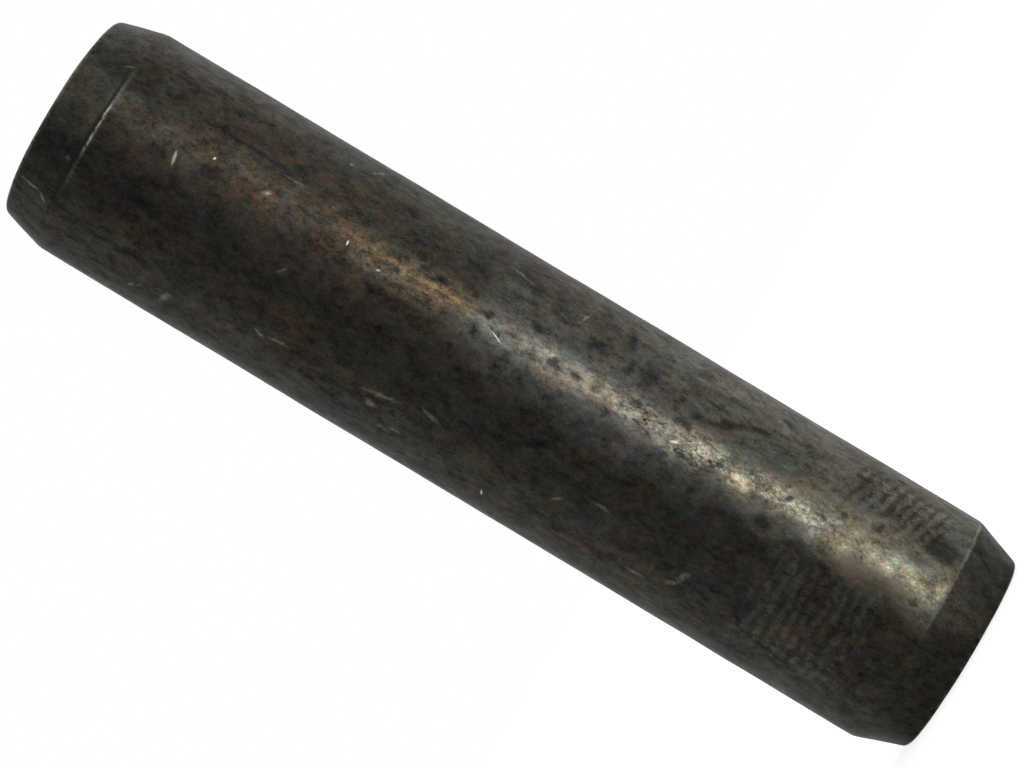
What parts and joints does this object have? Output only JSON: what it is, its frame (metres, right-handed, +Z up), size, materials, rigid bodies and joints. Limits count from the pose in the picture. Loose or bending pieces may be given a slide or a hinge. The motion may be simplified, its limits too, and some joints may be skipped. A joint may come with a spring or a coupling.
{
  "type": "slotted spring pin",
  "caption": "Hollow spring pin rolled from steel strip, slotted from end to end, with both ends pressed to short cones. Stands on one end.",
  "frame": {"origin": "on the pin's axis in the plane of its bottom end", "axes": "+Z up the axis to the top end; the slot faces +Y"},
  "size_m": [0.0106, 0.0104, 0.045],
  "materials": {
    "spring_steel": "hardened and tempered strip, dark brown-black scale worn to bare grey steel in bands"
  },
  "bodies": {
    "root": {"spring_pin": "spring_steel"}
  },
  "joints": []
}
